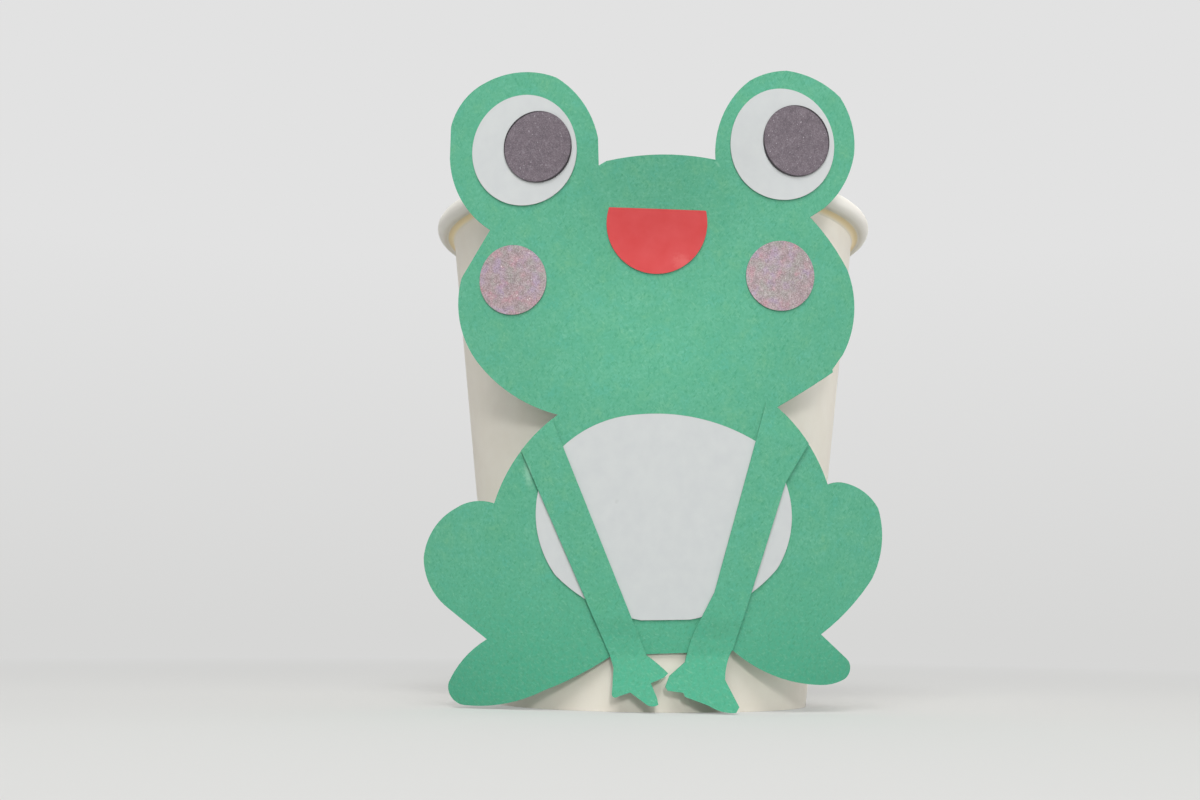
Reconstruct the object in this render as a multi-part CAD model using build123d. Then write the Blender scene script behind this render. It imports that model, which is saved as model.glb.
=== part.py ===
from build123d import *
import os
from math import asin, atan2, cos, hypot, radians, sin, sqrt, tan

# A cut-card frog glued to the front of a paper cup. Millimetres, +Z up the cup's axis, origin at the
# centre of the base ring, the frog looking along -Y. Left and right are the viewer's.

# Paper cup
CUP_HEIGHT = 82.0
RIM_DIAMETER = 75.0
BASE_DIAMETER = 51.7
CUP_PAPER = 0.3
ROLL_DIAMETER = 3.0
ROLL_TURN = 318.0
HEM_HEIGHT = 5.5
FLOOR_HEIGHT = 7.0
FLOOR_PAPER = 0.3
FLOOR_BEND = 0.5
SEAM_WIDTH = 7.0
TUCK_GAP = 0.03

# Papers of the frog, and the film of glue between one and the next
CARD = 0.25
WHITE_PAPER = 0.16
MOUTH_PAPER = 0.16
GLOSS_PAPER = 0.14
GLUE_FILM = 0.1

# How the card is bent: round the cup, pressed back under the rim and so out above it, feet curled back,
# hands creased forward
BEND_RADIUS = 84.7
PRESS_DEPTH = 2.0
PRESS_BELOW_RIM = 14.0
PRESS_REACH = 22.0
PRESS_HALF_WIDTH = 23.0
FOOT_CURL = 0.8
FOOT_CURL_OUT = 24.0
FOOT_CURL_HEIGHT = 13.5
HAND_BEND = 22.0
WRIST_ROUND = 1.6
WRIST_DROP = 0.6
ARM_SETTLE = 3.0

# Green card. Rises are measured up the card, from the cup's foot, the seat or the head's middle.
SEAT_RISE = 9.1
TORSO_WIDTH = 51.3
TORSO_HEIGHT = 35.6
HEAD_WIDTH = 60.8
HEAD_HEIGHT = 39.0
EYE_LOBE = 23.4
LEFT_EYE_OUT = 20.6
LEFT_EYE_RISE = 20.4
RIGHT_EYE_OUT = 18.7
RIGHT_EYE_RISE = 21.5
THIGH_WIDTH = 15.6
THIGH_HEIGHT = 21.3
LEFT_THIGH_OUT = 28.0
LEFT_THIGH_RISE = 11.4
RIGHT_THIGH_OUT = 27.7
RIGHT_THIGH_RISE = 13.9
FOOT_WIDTH = 25.2
FOOT_HEIGHT = 10.6
LEFT_FOOT_OUT = 19.2
LEFT_FOOT_DROP = 4.3
RIGHT_FOOT_OUT = 18.2
RIGHT_FOOT_DROP = 1.6
LEFT_ARM_WIDTH = 25.5
LEFT_ARM_HEIGHT = 45.5
LEFT_ARM_OUT = 10.8
LEFT_ARM_RISE = 14.8
RIGHT_ARM_WIDTH = 22.7
RIGHT_ARM_HEIGHT = 45.9
RIGHT_ARM_OUT = 12.8
RIGHT_ARM_RISE = 14.5

# Pieces glued on the green card
BELLY_WIDTH = 38.7
BELLY_HEIGHT = 30.9
BELLY_SHIFT = 1.2
BELLY_RISE = 20.2
BELLY_SHOULDER = 32.4
EYE_WHITE_DIAMETER = 16.8
LEFT_WHITE_SHIFT = 0.2
PUPIL_DIAMETER = 10.8
LEFT_PUPIL_SHIFT = 2.4
LEFT_PUPIL_RISE = 0.4
RIGHT_PUPIL_SHIFT = 2.0
RIGHT_PUPIL_RISE = 0.6
CHEEK_DIAMETER = 10.6
LEFT_CHEEK_OUT = 22.0
LEFT_CHEEK_RISE = 0.7
RIGHT_CHEEK_OUT = 18.6
RIGHT_CHEEK_RISE = 1.6
MOUTH_DIAMETER = 15.2
MOUTH_CUT = 2.1
MOUTH_TILT = -1.6
MOUTH_SHIFT = -0.2
MOUTH_RISE = 9.3

# Scissor cuts, in percent of each piece's width and height from its middle. A stroke starts at a corner,
# and bows through its second point on the way to the next corner, or runs straight where that is None.
HEAD_CUT = [
    ((-42, 22), None),
    ((-13, 47.2), (-2, 49.4)),
    ((14, 48), None),
    ((38, 27.5), (44, 17)),
    ((48, 7.5), (50, -8)),
    ((47, -26), None),
    ((44.2, -32), None),
    ((44.4, -33), (37.5, -40)),
    ((26.5, -50), None),
    ((-19, -52), (-35, -44)),
    ((-45, -30.5), (-50, -13)),
    ((-49.5, 3), None),
]
LEFT_LOBE_CUT = [
    ((49.5, -15), None),
    ((48.8, 6), (37.8, 30.5)),
    ((21.5, 46), (1, 51)),
    ((-25, 46), (-40.3, 35)),
    ((-49, 18), None),
    ((-49.5, -3), (-44, -25.5)),
    ((-18.5, -53), None),
    ((38.5, -44), None),
]
RIGHT_LOBE_CUT = [
    ((-43.5, -15.5), None),
    ((-44, -7), (-38, 19.5)),
    ((-22, 39.5), (-9.5, 45.5)),
    ((2.5, 48), (21.5, 44)),
    ((39, 33.5), (47.5, 16)),
    ((49, -3.5), (41.5, -24.5)),
    ((28.5, -40), None),
    ((15, -49), None),
    ((-30, -44), None),
]
TORSO_CUT = [
    ((-23.5, 54.5), (-39, 35.5)),
    ((-49, 5), None),
    ((-48, -49), None),
    ((-13, -51.5), None),
    ((23, -49.5), None),
    ((48, -44), None),
    ((52.5, 14.5), (46, 36)),
    ((32, 57.5), None),
    ((9.5, 68), None),
]
LEFT_THIGH_CUT = [
    ((30.5, 46), (5.5, 50)),
    ((-16.5, 44.5), (-40, 28.5)),
    ((-50, 7), (-44.5, -10.5)),
    ((-24, -28), None),
    ((19.5, -50.5), None),
    ((43, -2.5), None),
]
RIGHT_THIGH_CUT = [
    ((-20, -57), (13, -37.5)),
    ((37.5, -16.5), (48, 7.5)),
    ((44, 35), (24.5, 49)),
    ((5, 54), (-5, 53.5)),
    ((-19, 47.5), None),
    ((-47.5, -5), None),
]
LEFT_FOOT_CUT = [
    ((-22, 54.5), (-39, 21)),
    ((-49, -16.5), (-48, -37.5)),
    ((-39, -49), (-15.5, -42.5)),
    ((10, -19), (31, 5.5)),
    ((50, 33.5), None),
    ((37.5, 62), None),
]
RIGHT_FOOT_CUT = [
    ((-28, 22), (-2.5, -18)),
    ((29, -36.5), (37, -35.5)),
    ((44, -30), (47.5, -16.5)),
    ((45, 0), None),
    ((26, 42.5), None),
    ((-18.5, 54.5), None),
]
BELLY_CUT = [
    ((-8.5, -50), None),
    ((10.5, -49.5), (29, -41)),
    ((44.5, -25), (50, -4.5)),
    ((47.5, 17), (43, 28)),
    ((35.5, 37), (14.5, 47.5)),
    ((-10.5, 49.5), (-26.5, 44.5)),
    ((-39.5, 33.5), (-46.5, 22.5)),
    ((-49, 11.5), (-49, -9.5)),
    ((-42, -29), (-27, -42.5)),
]
LEFT_ARM_CUT = [
    ((-50, 48.5), None),
    ((-24, 50), None),
    ((37.5, -33.5), (46, -37)),
    ((50, -39), None),
    ((47.5, -40.3), None),
    ((40, -42), None),
    ((43.5, -46.4), None),
    ((44.3, -48.5), (41, -49)),
    ((37.5, -48.5), None),
    ((28, -44.9), None),
    ((19.3, -46.6), (17.8, -46.2)),
    ((17.4, -45.3), None),
    ((18.2, -37.5), None),
    ((16.3, -34), None),
]
RIGHT_ARM_CUT = [
    ((16.2, 50), None),
    ((50, 40.5), None),
    ((30, 24), None),
    ((7.3, -12), None),
    ((-4.7, -30.3), (-9, -35.3)),
    ((-10.3, -40), None),
    ((-1.3, -48.3), None),
    ((-3.4, -50), (-10.3, -49.8)),
    ((-21.4, -47.7), None),
    ((-36.8, -45), None),
    ((-38, -43.8), None),
    ((-48.3, -43.2), None),
    ((-49.6, -42), None),
    ((-47, -38.8), None),
    ((-36.8, -34.6), None),
    ((-34.2, -30), None),
    ((-31.2, -25.3), None),
    ((-17.5, -12), None),
]

# Spacing of the points that the bent card's surface passes through, and how far it runs past the cut
SURFACE_STEP = 2.0
SURFACE_MARGIN = 3.0
# Depth of the cutting prisms either side of the card's flat plane, and of a disc's cut into the card
CUT_DEPTH = 25.0
DISC_CUT_DEPTH = 2.0

# Cup section: the wall's middle line leaves the foot and runs tangent into the rolled rim
roll_outer = ROLL_DIAMETER / 2
roll_middle = roll_outer - CUP_PAPER / 2
roll_inner = roll_outer - CUP_PAPER
roll_r = RIM_DIAMETER / 2 - roll_outer
roll_z = CUP_HEIGHT - roll_outer
foot_r = (BASE_DIAMETER - CUP_PAPER) / 2
taper = atan2(roll_r - foot_r, roll_z) - asin(roll_middle / hypot(roll_r - foot_r, roll_z))


def wall_point(height, outward):
    """Point of the cup's section at a height, a distance outward from the wall's middle line."""
    along = (height + outward * sin(taper)) / cos(taper)
    return Vector(foot_r + along * sin(taper) + outward * cos(taper), 0, height)


def roll_point(radius, turn):
    """Point of the rolled rim's section, a turn in degrees on from where the wall runs into it."""
    angle = radians(180 - turn) - taper
    return Vector(roll_r + radius * cos(angle), 0, roll_z + radius * sin(angle))


def roll_arc(radius, start, end):
    return ThreePointArc(
        roll_point(radius, start),
        roll_point(radius, (start + end) / 2),
        roll_point(radius, end),
    )


wall_outside = CUP_PAPER / 2
wall_inside = -CUP_PAPER / 2
skirt_outside = wall_inside - TUCK_GAP
skirt_inside = skirt_outside - FLOOR_PAPER
hem_outside = skirt_inside - TUCK_GAP
hem_inside = hem_outside - CUP_PAPER


def make_cup_wall():
    """Side wall with its rolled rim, its hem turned in and up at the foot, and the lapped side seam."""
    fold = [
        wall_point(CUP_PAPER, wall_inside),
        wall_point(CUP_PAPER, hem_outside),
        wall_point(HEM_HEIGHT, hem_outside),
        wall_point(HEM_HEIGHT, hem_inside),
        wall_point(0, hem_inside),
        wall_point(0, wall_outside),
        roll_point(roll_inner, 0),
    ]
    section = make_face(
        [
            Line(roll_point(roll_outer, 0), fold[0]),
            Polyline(*fold),
            roll_arc(roll_inner, 0, ROLL_TURN),
            Line(roll_point(roll_inner, ROLL_TURN), roll_point(roll_outer, ROLL_TURN)),
            roll_arc(roll_outer, ROLL_TURN, 0),
        ]
    )
    seam_top = roll_z - ROLL_DIAMETER
    lap = make_face(
        Polyline(
            wall_point(CUP_PAPER, 0),
            wall_point(CUP_PAPER, wall_outside + CUP_PAPER),
            wall_point(seam_top, wall_outside + CUP_PAPER),
            wall_point(seam_top, 0),
            close=True,
        )
    )
    seam_slot = Pos(0, RIM_DIAMETER / 2, CUP_HEIGHT / 2) * Box(SEAM_WIDTH, RIM_DIAMETER, CUP_HEIGHT)
    seam = revolve(lap, Axis.Z) & seam_slot
    return revolve(section, Axis.Z) + seam


def make_cup_floor():
    """Raised disc with its skirt turned down into the hem."""
    under = FLOOR_HEIGHT - FLOOR_PAPER
    skirt_foot = CUP_PAPER + TUCK_GAP
    outer_corner = wall_point(FLOOR_HEIGHT, skirt_outside)
    inner_corner = wall_point(under, skirt_inside)
    section = make_face(
        Polyline(
            (0, 0, under),
            inner_corner,
            wall_point(skirt_foot, skirt_inside),
            wall_point(skirt_foot, skirt_outside),
            outer_corner,
            (0, 0, FLOOR_HEIGHT),
            close=True,
        )
    )
    pan = revolve(section, Axis.Z)
    circles = pan.edges().filter_by(GeomType.CIRCLE)
    top_bend = circles.filter_by(lambda edge: abs(edge.radius - outer_corner.X) < TUCK_GAP)
    pan = fillet(top_bend, FLOOR_BEND + FLOOR_PAPER)
    circles = pan.edges().filter_by(GeomType.CIRCLE)
    low_bend = circles.filter_by(lambda edge: abs(edge.arc_center.Z - under) < TUCK_GAP)
    return fillet(low_bend, FLOOR_BEND)


# The card's own flat frame: origin at the cup's foot, x to the viewer's right, y up the card, z out.
# It leans on the foot's edge and on the front of the rolled rim.
card_foot = Vector(0, -BASE_DIAMETER / 2, 0)
card_rim = Vector(0, -RIM_DIAMETER / 2, roll_z)
card_run = card_rim - card_foot
card_out = Vector(1, 0, 0).cross(card_run).normalized()
card_plane = Plane(origin=card_foot + card_out * GLUE_FILM, x_dir=(1, 0, 0), z_dir=card_out)
press_y = card_run.length - PRESS_BELOW_RIM
belly_low = SEAT_RISE + BELLY_RISE - BELLY_HEIGHT / 2
belly_shoulder = SEAT_RISE + BELLY_SHOULDER


def hollow(share):
    """Smooth dip, one in the middle and level with nothing at a share of one."""
    return max(0, 1 - share**2) ** 2


def press_share(y):
    """Share of the press at a height: whole in the hollow, none under the roll, and turned out above it."""
    above = (y - press_y) / (PRESS_BELOW_RIM - roll_outer)
    if above < 0:
        return hollow((press_y - y) / PRESS_REACH)
    return cos(radians(90 * min(above, 2)))


def card_lift(x, y):
    """How far the bent card stands in front of its flat plane."""
    bend = sqrt(BEND_RADIUS**2 - x**2) - BEND_RADIUS
    press = PRESS_DEPTH * hollow(x / PRESS_HALF_WIDTH) * press_share(y)
    curl = FOOT_CURL * (x / FOOT_CURL_OUT) ** 2 * max(0, 1 - y / FOOT_CURL_HEIGHT) ** 2
    return bend - press - curl


def arm_lift(x, y):
    """The same for the arms, which come down past the belly's ends, and whose hands bend forward."""
    past = max(belly_low - y, y - belly_shoulder, 0)
    settle = (WHITE_PAPER + GLUE_FILM) * (1 - hollow(past / ARM_SETTLE))
    below = SEAT_RISE - WRIST_DROP - y
    bend = tan(radians(HAND_BEND)) * (below + hypot(below, WRIST_ROUND)) / 2
    return card_lift(x, y) - settle + bend


def spread(low, high):
    """Even steps over a stretch, with a margin at both ends."""
    start = low - SURFACE_MARGIN
    count = int((high - low + 2 * SURFACE_MARGIN) / SURFACE_STEP) + 1
    step = (high - low + 2 * SURFACE_MARGIN) / count
    return [start + step * i for i in range(count + 1)]


def bent_surface(outline, lift):
    """Surface of the bent card behind an outline."""
    box = outline.bounding_box()
    columns = spread(box.min.X, box.max.X)
    rows = spread(box.min.Y, box.max.Y)
    points = [[Vector(x, y, lift(x, y)) for x in columns] for y in rows]
    return Face.make_surface_from_array_of_points(points)


def cut_shape(strokes, width, height, middle):
    """Flat shape that the scissors cut."""

    def place(point):
        return (middle[0] + point[0] / 100 * width, middle[1] + point[1] / 100 * height)

    edges = []
    for (corner, bow), (following, _) in zip(strokes, strokes[1:] + strokes[:1]):
        if bow is None:
            edges.append(Line(place(corner), place(following)))
        else:
            edges.append(ThreePointArc(place(corner), place(bow), place(following)))
    return make_face(edges)


def sheet(surface, depth, paper):
    """Paper of a thickness that lies a depth of other papers in front of a surface."""
    return Solid.extrude(Pos(0, 0, depth) * surface, Vector(0, 0, paper))


def cut_from(paper, outline):
    """The outline's piece of a paper sheet, in the object's frame."""
    prism = Pos(0, 0, -CUT_DEPTH) * extrude(outline, 2 * CUT_DEPTH)
    return card_plane * (paper & prism)


def punch_from(paper, diameter, x, y):
    """A round piece, cut square to the card where it is glued."""
    slope_x = (card_lift(x + GLUE_FILM, y) - card_lift(x - GLUE_FILM, y)) / (2 * GLUE_FILM)
    slope_y = (card_lift(x, y + GLUE_FILM) - card_lift(x, y - GLUE_FILM)) / (2 * GLUE_FILM)
    face = Plane(origin=(x, y, card_lift(x, y)), x_dir=(1, 0, slope_x), z_dir=(-slope_x, -slope_y, 1))
    prism = extrude(face * Circle(diameter / 2), DISC_CUT_DEPTH, both=True)
    return card_plane * (paper & prism)


# Flat cuts
neck_y = SEAT_RISE + TORSO_HEIGHT
head_y = neck_y + HEAD_HEIGHT / 2
left_eye = (-LEFT_EYE_OUT, head_y + LEFT_EYE_RISE)
right_eye = (RIGHT_EYE_OUT, head_y + RIGHT_EYE_RISE)
head = cut_shape(HEAD_CUT, HEAD_WIDTH, HEAD_HEIGHT, (0, head_y))
torso = cut_shape(TORSO_CUT, TORSO_WIDTH, TORSO_HEIGHT, (0, SEAT_RISE + TORSO_HEIGHT / 2))
lobes = cut_shape(LEFT_LOBE_CUT, EYE_LOBE, EYE_LOBE, left_eye)
lobes += cut_shape(RIGHT_LOBE_CUT, EYE_LOBE, EYE_LOBE, right_eye)
left_thigh = (-LEFT_THIGH_OUT, SEAT_RISE + LEFT_THIGH_RISE)
right_thigh = (RIGHT_THIGH_OUT, SEAT_RISE + RIGHT_THIGH_RISE)
legs = cut_shape(LEFT_THIGH_CUT, THIGH_WIDTH, THIGH_HEIGHT, left_thigh)
legs += cut_shape(RIGHT_THIGH_CUT, THIGH_WIDTH, THIGH_HEIGHT, right_thigh)
left_foot = (-LEFT_FOOT_OUT, SEAT_RISE - LEFT_FOOT_DROP)
right_foot = (RIGHT_FOOT_OUT, SEAT_RISE - RIGHT_FOOT_DROP)
legs += cut_shape(LEFT_FOOT_CUT, FOOT_WIDTH, FOOT_HEIGHT, left_foot)
legs += cut_shape(RIGHT_FOOT_CUT, FOOT_WIDTH, FOOT_HEIGHT, right_foot)
body_outline = head + torso + lobes + legs

# The arms are trimmed along the shoulders, and hang free of the torso's outline lower down
arm_reach = Rectangle(TORSO_WIDTH, TORSO_HEIGHT)
shoulder_trim = torso + Pos(0, SEAT_RISE) * arm_reach
left_arm = (-LEFT_ARM_OUT, SEAT_RISE + LEFT_ARM_RISE)
right_arm = (RIGHT_ARM_OUT, SEAT_RISE + RIGHT_ARM_RISE)
left_arm_outline = cut_shape(LEFT_ARM_CUT, LEFT_ARM_WIDTH, LEFT_ARM_HEIGHT, left_arm) & shoulder_trim
right_arm_outline = cut_shape(RIGHT_ARM_CUT, RIGHT_ARM_WIDTH, RIGHT_ARM_HEIGHT, right_arm)
right_arm_outline &= shoulder_trim + head

belly_outline = cut_shape(BELLY_CUT, BELLY_WIDTH, BELLY_HEIGHT, (BELLY_SHIFT, SEAT_RISE + BELLY_RISE))
mouth_outline = Circle(MOUTH_DIAMETER / 2)
mouth_outline -= Pos(0, MOUTH_CUT + MOUTH_DIAMETER / 2) * Rectangle(MOUTH_DIAMETER, MOUTH_DIAMETER)
mouth_outline = Pos(MOUTH_SHIFT, head_y + MOUTH_RISE) * Rot(0, 0, MOUTH_TILT) * mouth_outline

# Papers in the order that they are glued: green card, then the pieces on it, then those on them
card_surface = bent_surface(body_outline, card_lift)
arm_surface = bent_surface(left_arm_outline + right_arm_outline, arm_lift)
on_card = CARD + GLUE_FILM
on_white = on_card + WHITE_PAPER + GLUE_FILM
white_sheet = sheet(card_surface, on_card, WHITE_PAPER)
gloss_sheet = sheet(card_surface, on_card, GLOSS_PAPER)
pupil_sheet = sheet(card_surface, on_white, GLOSS_PAPER)
arm_sheet = sheet(arm_surface, on_white, CARD)
left_cheek = (-LEFT_CHEEK_OUT, head_y + LEFT_CHEEK_RISE)
right_cheek = (RIGHT_CHEEK_OUT, head_y + RIGHT_CHEEK_RISE)
left_white = (left_eye[0] + LEFT_WHITE_SHIFT, left_eye[1])
left_pupil = (left_eye[0] + LEFT_PUPIL_SHIFT, left_eye[1] + LEFT_PUPIL_RISE)
right_pupil = (right_eye[0] + RIGHT_PUPIL_SHIFT, right_eye[1] + RIGHT_PUPIL_RISE)

pieces = {
    "cup_wall": make_cup_wall(),
    "cup_floor": make_cup_floor(),
    "frog_body": cut_from(sheet(card_surface, 0, CARD), body_outline),
    "belly": cut_from(white_sheet, belly_outline),
    "left_arm": cut_from(arm_sheet, left_arm_outline),
    "right_arm": cut_from(arm_sheet, right_arm_outline),
    "left_eye_white": punch_from(white_sheet, EYE_WHITE_DIAMETER, *left_white),
    "right_eye_white": punch_from(white_sheet, EYE_WHITE_DIAMETER, *right_eye),
    "left_pupil": punch_from(pupil_sheet, PUPIL_DIAMETER, *left_pupil),
    "right_pupil": punch_from(pupil_sheet, PUPIL_DIAMETER, *right_pupil),
    "left_cheek": punch_from(gloss_sheet, CHEEK_DIAMETER, *left_cheek),
    "right_cheek": punch_from(gloss_sheet, CHEEK_DIAMETER, *right_cheek),
    "mouth": cut_from(sheet(card_surface, on_card, MOUTH_PAPER), mouth_outline),
}

os.makedirs("parts", exist_ok=True)
for name, piece in pieces.items():
    export_step(piece, f"parts/{name}.step")
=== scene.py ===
from math import radians

import bmesh
import bpy
from mathutils import Matrix, Vector


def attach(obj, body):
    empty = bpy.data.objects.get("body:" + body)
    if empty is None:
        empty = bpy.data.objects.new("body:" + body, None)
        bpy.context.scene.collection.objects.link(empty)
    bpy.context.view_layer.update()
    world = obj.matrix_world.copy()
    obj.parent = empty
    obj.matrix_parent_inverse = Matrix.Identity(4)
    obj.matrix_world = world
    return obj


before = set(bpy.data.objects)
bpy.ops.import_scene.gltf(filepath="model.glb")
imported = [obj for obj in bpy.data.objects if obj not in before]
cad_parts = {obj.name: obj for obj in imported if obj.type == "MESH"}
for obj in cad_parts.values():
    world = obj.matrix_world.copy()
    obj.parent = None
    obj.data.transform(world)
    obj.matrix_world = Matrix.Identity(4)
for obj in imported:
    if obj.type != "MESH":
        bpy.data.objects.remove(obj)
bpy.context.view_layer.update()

# A frog of cut and layered papers, glued to the front of a paper cup. Metres, with sizes written in
# millimetres. +Z is up the cup, and the frog looks along -Y.
MM = 0.001

# Camera, square to the frog
CAMERA_PLACE = (-6.5, -245.0, 12.7)
CAMERA_PITCH = 8.97
CAMERA_YAW = -0.55
CAMERA_ROLL = 0.6
CAMERA_LENS = 42.97
SENSOR_WIDTH = 36.0

# Light: soft boxes round the frog's middle, and a room that is brighter behind and overhead.
# Each box has the direction to it, its size and its power in watts.
FROG_MIDDLE = (0.0, -33.0, 50.0)
BOX_DISTANCE = 900.0
SOFT_BOXES = {
    "front": ((0.1, -0.95, 0.27), 110.0, 2.35),
    "top": ((-0.04, -0.64, 0.77), 460.0, 5.3),
    "right front": ((0.45, -0.88, 0.15), 360.0, 0.5),
    "left front": ((-0.15, -0.95, 0.2), 520.0, 0.85),
    "left wall": ((-0.9, 0.2, 0.03), 200.0, 1.5),
    "right wall": ((0.9, 0.3, 0.03), 200.0, 2.8),
}
ROOM_COLOUR = "#F6F6F4"
ROOM_FRONT = 0.12
ROOM_BACK = 0.8
ROOM_TOP = 0.2

# Floor
FLOOR_RADIUS = 3000.0
FLOOR_SIDES = 96
FLOOR_DROP = 0.02
FLOOR_COLOUR = "#E0E0DE"
FLOOR_THROW = "#AEAEAC"
FLOOR_GLOW = 0.35
FLOOR_NEAR = 60.0
FLOOR_FAR = 320.0
HORIZON_COLOUR = "#D7D7D6"
BACKGROUND_COLOUR = "#E2E2E2"
BACKGROUND_RISE = 0.25

# The card leans out with the cup's front: the way that its face looks, and how far a surface shares that
# where a paper's front starts and is full, and where its cut side does
CARD_FACE = (0.0, -0.9906, -0.1371)
FRONT_FACING = (0.5, 0.7)
SIDE_FACING = (0.6, 0.45)

# Marks of the making, on the papers' fronts: across, up, turn in degrees, half width, half length, colour
# and how strong. Glue dried beside the left arm and over the mouth, a scuff in the right notch beside the
# head, where the scissors cut too far, and a grey speck on the belly.
CARD_MARKS = (
    (-19.35, 35.2, -13, 0.9, 2.7, "#9DD2B6", 0.6),
    (8.85, 81.35, -45, 0.3, 0.8, "#8FC9AB", 0.45),
)
RED_MARKS = ((3.7, 67.2, 30, 2.2, 1.6, "#E88482", 0.3),)
WHITE_MARKS = ((-5.9, 31.2, 0, 0.5, 0.5, "#BFC2C2", 0.5),)

# Their grain, and where they start and are full, in shares of their half sizes with the grain added
SMEAR_GRAIN = 0.4
SMEAR_REACH = (1.4, 0.7)

# Where a paper's cloud starts and is full, in the noise that makes it
CLOUD = (0.3, 0.7)

# Green card: the sizes of its clouds, of the drifts in its dye, of its flocks of fibre and of its tooth,
# how deep the tooth is, and the heights where the deeper, less red colour low down starts and is full:
# painted lack of sheen, for the hands and feet that miss the glare the upper card catches
CARD_CLOUD = 4.0
DYE_DRIFT = 2.5
FLOCK = 0.6
CARD_TOOTH = 0.35
CARD_TOOTH_DEPTH = 0.03
LESS_SHEEN_HEIGHT = (24.0, 6.0)

# Its fibres: single ones are 0.03 mm thick, too fine to show, so they are drawn this thick and long.
# Each lot has a turn in degrees, how strong it is and its colour.
FIBRE_SIZE = (0.22, 0.22, 0.8)
FIBRES = ((35, 0.7, "#489B78"), (-50, 0.35, "#83C3A0"), (80, 0.3, "#79BFA6"), (-15, 0.7, "#4F9E80"))

# The other papers: the sizes of their clouds, of the drifts in the pink and of the white's tooth, and how
# deep that is
WHITE_CLOUD = 2.0
WHITE_TOOTH = 0.5
WHITE_TOOTH_DEPTH = 0.02
RED_CLOUD = 3.0
BLACK_CLOUD = 1.6
PINK_DRIFT = 1.7
BOARD_CLOUD = 3.0

# Pearl flakes, far finer than they can be drawn, so each size is what shows: size, where they start and
# are full in the noise that makes them, how strong and which tone
# The glint tone is a painted glint: light caught by the flakes, painted into the colour
FLAKES = (
    (0.9, 0.52, 0.34, 0.5, "dark"),
    (0.6, 0.52, 0.7, 0.35, "pale"),
    (0.17, 0.5, 0.3, 0.9, "dark"),
    (0.17, 0.52, 0.72, 0.75, "pale"),
    (0.26, 0.72, 0.77, 0.8, "glint"),
)

# Black discs: where the dark of the cut starts and is full, in shares of the radius
PUPIL_RIM = (0.96, 0.985)

# Cup: where the whiter colour starts and is full, up the cup on its rolled rim, and by how far a face looks
# outward on its inside. Inside it is the board's whiter coat; on the roll it is that coat turned out and
# also painted light, lifting the shade on the roll's underside
ROLL_HEIGHT = (78.95, 79.15)
INSIDE_FACING = (0.0, -1.0)

# Groove between the cup's wall and its rolled rim: the section of the coat that gathers there, outward and
# up, the steps of its ring and the angle of its sharp corners, and where the pale yellow painted on it
# starts and is full, outward, up and by how far a face looks outward. That yellow is painted warm bounce
# light, lifting the shade in the groove
GROOVE_SECTION = (
    (34.5, 78.2),
    (34.68, 78.55),
    (34.95, 78.83),
    (35.35, 79.0),
    (35.8, 79.06),
    (34.65, 79.5),
)
GROOVE_STEPS = 180
GROOVE_CORNER = 40
GROOVE_BOUNCE_REACH = (35.85, 35.45)
GROOVE_BOUNCE_HEIGHT = (78.35, 78.8)
GROOVE_BOUNCE_FACING = (-8.0, -2.0)


def linear(colour):
    """Linear colour of an sRGB hex value."""
    shares = [int(colour[i : i + 2], 16) / 255 for i in (1, 3, 5)]
    return (*[s / 12.92 if s <= 0.04045 else ((s + 0.055) / 1.055) ** 2.4 for s in shares], 1.0)


def add(tree, kind, inputs=None, out=None, **settings):
    """Adds a shader node, each input a value or a link, and gives the node or one of its outputs."""
    node = tree.nodes.new("ShaderNode" + kind)
    for name, value in settings.items():
        setattr(node, name, value)
    for socket, value in (inputs or {}).items():
        if isinstance(value, bpy.types.NodeSocket):
            tree.links.new(value, node.inputs[socket])
        else:
            node.inputs[socket].default_value = value
    return node if out is None else node.outputs[out]


def start_material(name, **finish):
    """An empty material with its shader, and coordinates in millimetres."""
    material = bpy.data.materials.new(name)
    material.use_nodes = True
    tree = material.node_tree
    tree.nodes.clear()
    inputs = {socket.replace("_", " "): value for socket, value in finish.items()}
    shader = add(tree, "BsdfPrincipled", inputs)
    add(tree, "OutputMaterial", {"Surface": shader.outputs["BSDF"]})
    place = add(tree, "TexCoord", out="Object")
    mm = add(tree, "Mapping", {"Vector": place, "Scale": (1 / MM, 1 / MM, 1 / MM)}, out="Vector")
    return material, tree, shader, mm


def tint(tree, colour, value, start, full, tone, most=1.0):
    """Lays a tone over a colour, from where a value starts it to where it is full."""
    share = add(
        tree, "MapRange", {"Value": value, "From Min": start, "From Max": full, "To Max": most},
        out="Result",
    )
    return add(tree, "Mix", {0: share, 6: colour, 7: linear(tone)}, out=2, data_type="RGBA")


def facing(tree):
    """One where a paper looks to the front, minus one on its back, and about none on its cut sides."""
    normal = add(tree, "NewGeometry", out="True Normal")
    return add(tree, "VectorMath", {0: normal, 1: CARD_FACE}, out="Value", operation="DOT_PRODUCT")


def cut_edge(tree):
    """One on the cut sides of a paper, none on its faces."""
    start, full = SIDE_FACING
    flat = add(tree, "Math", {0: facing(tree)}, out="Value", operation="ABSOLUTE")
    return add(tree, "MapRange", {"Value": flat, "From Min": start, "From Max": full}, out="Result")


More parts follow.
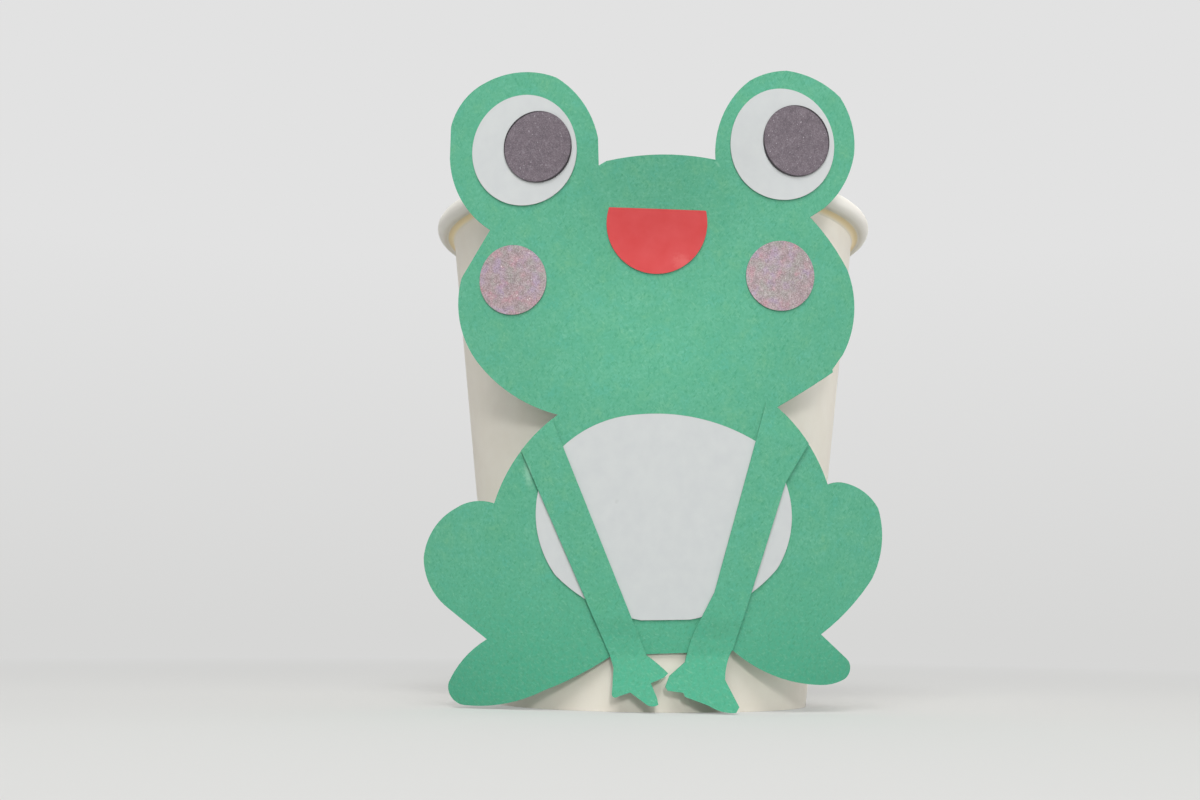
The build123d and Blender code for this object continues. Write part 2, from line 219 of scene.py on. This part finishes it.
def smear(tree, mm, colour, marks):
    """Small marks of the making on a paper's front, broken up by its tooth."""
    start, full = FRONT_FACING
    look = facing(tree)
    front = add(tree, "MapRange", {"Value": look, "From Min": start, "From Max": full}, out="Result")
    tooth = add(tree, "TexNoise", {"Vector": mm, "Scale": 1 / SMEAR_GRAIN, "Detail": 2.0}, out="Fac")
    start, full = SMEAR_REACH
    for across, up, turn, half_width, half_length, tone, most in marks:
        place = add(
            tree, "Mapping",
            {"Vector": mm, "Location": (across, 0, up), "Rotation": (0, radians(turn), 0),
             "Scale": (half_width, 1 / MM, half_length)},
            out="Vector", vector_type="TEXTURE",
        )
        away = add(tree, "VectorMath", {0: place}, out="Value", operation="LENGTH")
        away = add(tree, "Math", {0: away, 1: tooth}, out="Value")
        share = add(
            tree, "MapRange", {"Value": away, "From Min": start, "From Max": full, "To Max": most},
            out="Result",
        )
        share = add(tree, "Math", {0: share, 1: front}, out="Value", operation="MULTIPLY")
        colour = add(tree, "Mix", {0: share, 6: colour, 7: linear(tone)}, out=2, data_type="RGBA")
    return colour


def construction_card():
    """Green construction card, dyed in the pulp: matt, clouded, with dark and pale fibres all ways."""
    material, tree, shader, mm = start_material(
        "green construction card", Roughness=0.86, Specular_IOR_Level=0.22
    )
    cloud = add(tree, "TexNoise", {"Vector": mm, "Scale": 1 / CARD_CLOUD, "Detail": 2.0}, out="Fac")
    colour = tint(tree, linear("#5FAE8D"), cloud, *CLOUD, "#69B596")
    # The dye took unevenly, in yellower and bluer drifts
    drift = add(tree, "TexNoise", {"Vector": mm, "Scale": 1 / DYE_DRIFT, "Detail": 2.0}, out="Color")
    parts = add(tree, "SeparateColor", {"Color": drift})
    for channel, tone in (("Red", "#6FB389"), ("Green", "#59AF97")):
        colour = tint(tree, colour, parts.outputs[channel], 0.5, 0.7, tone, 0.6)
    # Low down the card is painted deeper and less red: painted lack of sheen, where the hands and feet turn
    # out of the glare that the upper card catches
    height = add(tree, "SeparateXYZ", {"Vector": mm}, out="Z")
    colour = tint(tree, colour, height, *LESS_SHEEN_HEIGHT, "#50AD8C")
    flock = add(tree, "TexNoise", {"Vector": mm, "Scale": 1 / FLOCK, "Detail": 3.0}, out="Fac")
    colour = tint(tree, colour, flock, 0.35, 0.7, "#5BAA89")
    for turn, most, tone in FIBRES:
        along = add(
            tree, "Mapping", {"Vector": mm, "Rotation": (0, radians(turn), 0), "Scale": FIBRE_SIZE},
            out="Vector", vector_type="TEXTURE",
        )
        fibre = add(tree, "TexNoise", {"Vector": along, "Scale": 1.0, "Detail": 1.0}, out="Fac")
        colour = tint(tree, colour, fibre, 0.58, 0.76, tone, most)
    colour = smear(tree, mm, colour, CARD_MARKS)
    colour = add(
        tree, "Mix", {0: cut_edge(tree), 6: colour, 7: linear("#4C9C79")}, out=2, data_type="RGBA"
    )
    tree.links.new(colour, shader.inputs["Base Color"])
    tooth = add(tree, "TexNoise", {"Vector": mm, "Scale": 1 / CARD_TOOTH, "Detail": 2.0}, out="Fac")
    bump = add(
        tree, "Bump", {"Height": tooth, "Strength": 0.25, "Distance": CARD_TOOTH_DEPTH * MM}, out="Normal"
    )
    tree.links.new(bump, shader.inputs["Normal"])
    return material


def white_paper():
    """White drawing paper: smooth and matt, with a faint look-through of cloudy pulp."""
    material, tree, shader, mm = start_material(
        "white drawing paper", Roughness=0.8, Specular_IOR_Level=0.3
    )
    cloud = add(tree, "TexNoise", {"Vector": mm, "Scale": 1 / WHITE_CLOUD, "Detail": 3.0}, out="Fac")
    colour = tint(tree, linear("#CBCECF"), cloud, *CLOUD, "#CFD2D2")
    colour = smear(tree, mm, colour, WHITE_MARKS)
    tree.links.new(colour, shader.inputs["Base Color"])
    tooth = add(tree, "TexNoise", {"Vector": mm, "Scale": 1 / WHITE_TOOTH, "Detail": 2.0}, out="Fac")
    bump = add(
        tree, "Bump", {"Height": tooth, "Strength": 0.15, "Distance": WHITE_TOOTH_DEPTH * MM}, out="Normal"
    )
    tree.links.new(bump, shader.inputs["Normal"])
    return material


def red_paper():
    """Red craft paper, coloured on its face: even and smooth, with a white core at the cut."""
    material, tree, shader, mm = start_material("red craft paper", Roughness=0.75, Specular_IOR_Level=0.2)
    cloud = add(tree, "TexNoise", {"Vector": mm, "Scale": 1 / RED_CLOUD, "Detail": 3.0}, out="Fac")
    colour = tint(tree, linear("#D34B4C"), cloud, *CLOUD, "#D75455")
    colour = smear(tree, mm, colour, RED_MARKS)
    colour = add(
        tree, "Mix", {0: cut_edge(tree), 6: colour, 7: linear("#E7A8A6")}, out=2, data_type="RGBA"
    )
    tree.links.new(colour, shader.inputs["Base Color"])
    return material


def disc_reach(tree):
    """How far out on a disc a point is: none at its middle, one at its cut edge."""
    place = add(tree, "TexCoord", out="Generated")
    place = add(tree, "VectorMath", {0: place, 1: (0.5, 0.5, 0.5)}, out="Vector", operation="SUBTRACT")
    flat = add(tree, "VectorMath", {0: place, 1: (2.0, 0.0, 2.0)}, out="Vector", operation="MULTIPLY")
    return add(tree, "VectorMath", {0: flat}, out="Value", operation="LENGTH")


def speckle(tree, mm, colour, **tones):
    """Pearl flakes over a colour."""
    for size, start, full, most, tone in FLAKES:
        grain = add(tree, "TexNoise", {"Vector": mm, "Scale": 1 / size, "Detail": 1.0}, out="Fac")
        colour = tint(tree, colour, grain, start, full, tones[tone], most)
    return colour


def black_pearl_paper():
    """Black paper under a pearl coat: its mauve grey face is painted sheen of the coat over the black, and
    the cut stays black.
    """
    material, tree, shader, mm = start_material("black pearl paper", Roughness=0.5, Specular_IOR_Level=0.4)
    cloud = add(tree, "TexNoise", {"Vector": mm, "Scale": 1 / BLACK_CLOUD, "Detail": 2.0}, out="Fac")
    # The mauve grey is painted sheen of the pearl coat
    colour = tint(tree, linear("#695F67"), cloud, 0.35, 0.65, "#756A72")
    colour = speckle(tree, mm, colour, dark="#5C535A", pale="#8A8189", glint="#CFC8CE")
    start, full = PUPIL_RIM
    reach = disc_reach(tree)
    rim = add(tree, "MapRange", {"Value": reach, "From Min": start, "From Max": full}, out="Result")
    edge = add(tree, "Math", {0: rim, 1: cut_edge(tree)}, out="Value", operation="MAXIMUM")
    colour = add(tree, "Mix", {0: edge, 6: colour, 7: linear("#241F24")}, out=2, data_type="RGBA")
    tree.links.new(colour, shader.inputs["Base Color"])
    return material


def pink_pearl_paper():
    """Pink paper under a pearl coat: grey flakes veil it, with pink and mauve showing in drifts."""
    material, tree, shader, mm = start_material("pink pearl paper", Roughness=0.5, Specular_IOR_Level=0.4)
    drift = add(tree, "TexNoise", {"Vector": mm, "Scale": 1 / PINK_DRIFT, "Detail": 2.0}, out="Color")
    parts = add(tree, "SeparateColor", {"Color": drift})
    colour = linear("#AC979A")
    for channel, tone in (("Red", "#C08F99"), ("Green", "#AE9AB4"), ("Blue", "#A09C97")):
        colour = tint(tree, colour, parts.outputs[channel], 0.48, 0.66, tone)
    colour = speckle(tree, mm, colour, dark="#8A7A7E", pale="#C6B8BB", glint="#F2ECEC")
    tree.links.new(colour, shader.inputs["Base Color"])
    return material


def cup_board():
    """Off-white cup board: smooth, warm and satin outside. Its inside, which the rolled rim turns out, has
    a whiter coat, and on the roll that white is also painted light, lifting its shaded underside. Under the
    rim, the coat that gathers in the groove is painted a pale yellow: painted warm bounce light in the
    shaded groove."""
    material, tree, shader, mm = start_material("coated cup board", Roughness=0.55, Specular_IOR_Level=0.35)
    cloud = add(tree, "TexNoise", {"Vector": mm, "Scale": 1 / BOARD_CLOUD, "Detail": 3.0}, out="Fac")
    colour = tint(tree, linear("#E7E0D3"), cloud, *CLOUD, "#EAE4D8")
    level = add(tree, "VectorMath", {0: mm, 1: (1.0, 1.0, 0.0)}, out="Vector", operation="MULTIPLY")
    reach = add(tree, "VectorMath", {0: level}, out="Value", operation="LENGTH")
    height = add(tree, "SeparateXYZ", {"Vector": mm}, out="Z")
    normal = add(tree, "NewGeometry", out="True Normal")
    outward = add(tree, "VectorMath", {0: normal, 1: level}, out="Value", operation="DOT_PRODUCT")
    # Whiter on the inside coat, and on the rolled rim also painted light that lifts the shade on its
    # underside
    coated = 0.0
    for place, (start, full) in ((height, ROLL_HEIGHT), (outward, INSIDE_FACING)):
        share = add(tree, "MapRange", {"Value": place, "From Min": start, "From Max": full}, out="Result")
        coated = add(tree, "Math", {0: coated, 1: share}, out="Value", operation="MAXIMUM")
    colour = add(tree, "Mix", {0: coated, 6: colour, 7: linear("#F6F2EA")}, out=2, data_type="RGBA")
    # Pale yellow in the groove under the rim: painted warm bounce light that lifts the shade there
    groove = 1.0
    limits = ((reach, GROOVE_BOUNCE_REACH), (height, GROOVE_BOUNCE_HEIGHT), (outward, GROOVE_BOUNCE_FACING))
    for place, (start, full) in limits:
        share = add(tree, "MapRange", {"Value": place, "From Min": start, "From Max": full}, out="Result")
        groove = add(tree, "Math", {0: groove, 1: share}, out="Value", operation="MULTIPLY")
    colour = add(tree, "Mix", {0: groove, 6: colour, 7: linear("#FBE6B8")}, out=2, data_type="RGBA")
    tree.links.new(colour, shader.inputs["Base Color"])
    return material


def seen_directly(tree):
    """One for what the camera sees, straight or in a gloss, none for what lights the frog."""
    path = add(tree, "LightPath")
    seen = path.outputs["Is Camera Ray"]
    for way in ("Is Glossy Ray", "Is Transmission Ray"):
        seen = add(tree, "Math", {0: seen, 1: path.outputs[way]}, out="Value", operation="MAXIMUM")
    return seen


def pale_floor():
    """Matt pale studio floor that runs into the background, and throws little light up on the frog."""
    material = bpy.data.materials.new("matt pale floor")
    material.use_nodes = True
    tree = material.node_tree
    tree.nodes.clear()
    seen = seen_directly(tree)
    colour = add(
        tree, "Mix", {0: seen, 6: linear(FLOOR_THROW), 7: linear(FLOOR_COLOUR)}, out=2, data_type="RGBA"
    )
    matt = add(tree, "BsdfDiffuse", {"Color": colour}, out="BSDF")
    glow = add(tree, "Emission", {"Color": linear(HORIZON_COLOUR), "Strength": 1.0}, out="Emission")
    place = add(tree, "TexCoord", out="Object")
    away = add(tree, "VectorMath", {0: place}, out="Value", operation="LENGTH")
    share = add(
        tree, "MapRange",
        {"Value": away, "From Min": FLOOR_NEAR * MM, "From Max": FLOOR_FAR * MM, "To Min": FLOOR_GLOW},
        out="Result",
    )
    share = add(tree, "Math", {0: seen, 1: share}, out="Value", operation="MULTIPLY")
    both = add(tree, "MixShader", {0: share, 1: matt, 2: glow}, out="Shader")
    add(tree, "OutputMaterial", {"Surface": both})
    return material


def dress(material, *nodes):
    """Gives CAD pieces their finish."""
    for name in nodes:
        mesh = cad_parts[name].data
        mesh.materials.clear()
        mesh.materials.append(material)


def fill_groove(material):
    """Ring of coat under the cup's rolled rim."""
    shape = bmesh.new()
    corners = [shape.verts.new((out * MM, 0, up * MM)) for out, up in GROOVE_SECTION]
    sides = [shape.edges.new((corners[i - 1], corners[i])) for i in range(len(corners))]
    bmesh.ops.spin(
        shape, geom=corners + sides, axis=(0, 0, 1), cent=(0, 0, 0), angle=radians(360),
        steps=GROOVE_STEPS, use_merge=True,
    )
    bmesh.ops.recalc_face_normals(shape, faces=shape.faces)
    for face in shape.faces:
        face.smooth = True
    mesh = bpy.data.meshes.new("rim_coat")
    shape.to_mesh(mesh)
    shape.free()
    mesh.set_sharp_from_angle(angle=radians(GROOVE_CORNER))
    mesh.materials.append(material)
    ring = bpy.data.objects.new("rim_coat", mesh)
    bpy.context.scene.collection.objects.link(ring)
    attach(ring, "root")


def lay_floor():
    """Round floor that the cup stands on."""
    shape = bmesh.new()
    bmesh.ops.create_circle(shape, cap_ends=True, radius=FLOOR_RADIUS * MM, segments=FLOOR_SIDES)
    mesh = bpy.data.meshes.new("floor")
    shape.to_mesh(mesh)
    shape.free()
    mesh.materials.append(pale_floor())
    floor = bpy.data.objects.new("floor", mesh)
    floor.location.z = -FLOOR_DROP * MM
    bpy.context.scene.collection.objects.link(floor)


def hang_box(name, toward, size, power):
    """Soft box in a direction from the frog."""
    lamp = bpy.data.lights.new(name, "AREA")
    lamp.energy = power
    lamp.size = size * MM
    holder = bpy.data.objects.new(name, lamp)
    away = Vector(toward).normalized()
    holder.location = (Vector(FROG_MIDDLE) + away * BOX_DISTANCE) * MM
    holder.rotation_euler = away.to_track_quat("Z", "Y").to_euler()
    holder.visible_camera = False
    bpy.context.scene.collection.objects.link(holder)


def light_room():
    """Soft light from all round, which the camera sees as the pale background."""
    world = bpy.data.worlds.new("room")
    world.use_nodes = True
    tree = world.node_tree
    tree.nodes.clear()
    way = add(tree, "SeparateXYZ", {"Vector": add(tree, "TexCoord", out="Generated")})
    strength = 0.0
    for axis, low, high in (("Y", ROOM_FRONT, ROOM_BACK), ("Z", 0.0, ROOM_TOP)):
        share = add(
            tree, "MapRange", {"Value": way.outputs[axis], "To Min": low, "To Max": high}, out="Result"
        )
        strength = add(tree, "Math", {0: strength, 1: share}, out="Value")
    light = add(
        tree, "Background", {"Color": linear(ROOM_COLOUR), "Strength": strength}, out="Background"
    )
    rise = add(tree, "MapRange", {"Value": way.outputs["Z"], "From Max": BACKGROUND_RISE}, out="Result")
    tone = add(
        tree, "Mix", {0: rise, 6: linear(HORIZON_COLOUR), 7: linear(BACKGROUND_COLOUR)},
        out=2, data_type="RGBA",
    )
    back = add(tree, "Background", {"Color": tone, "Strength": 1.0}, out="Background")
    both = add(tree, "MixShader", {0: seen_directly(tree), 1: light, 2: back}, out="Shader")
    add(tree, "OutputWorld", {"Surface": both})
    bpy.context.scene.world = world


def place_camera():
    """Camera at the viewing angle of the picture."""
    camera = bpy.data.cameras.new("camera")
    camera.lens = CAMERA_LENS
    camera.sensor_width = SENSOR_WIDTH
    camera.clip_start = MM
    holder = bpy.data.objects.new("camera", camera)
    turn = Matrix.Rotation(radians(-CAMERA_YAW), 4, "Z")
    turn @= Matrix.Rotation(radians(90 + CAMERA_PITCH), 4, "X")
    turn @= Matrix.Rotation(radians(CAMERA_ROLL), 4, "Z")
    holder.matrix_world = Matrix.Translation(Vector(CAMERA_PLACE) * MM) @ turn
    bpy.context.scene.collection.objects.link(holder)
    bpy.context.scene.camera = holder


dress(construction_card(), "frog_body", "left_arm", "right_arm")
dress(white_paper(), "belly", "left_eye_white", "right_eye_white")
dress(red_paper(), "mouth")
dress(black_pearl_paper(), "left_pupil", "right_pupil")
dress(pink_pearl_paper(), "left_cheek", "right_cheek")
board = cup_board()
dress(board, "cup_wall", "cup_floor")
fill_groove(board)
place_camera()
lay_floor()
for name, box in SOFT_BOXES.items():
    hang_box(name, *box)
light_room()
bpy.context.scene.view_settings.view_transform = "Standard"
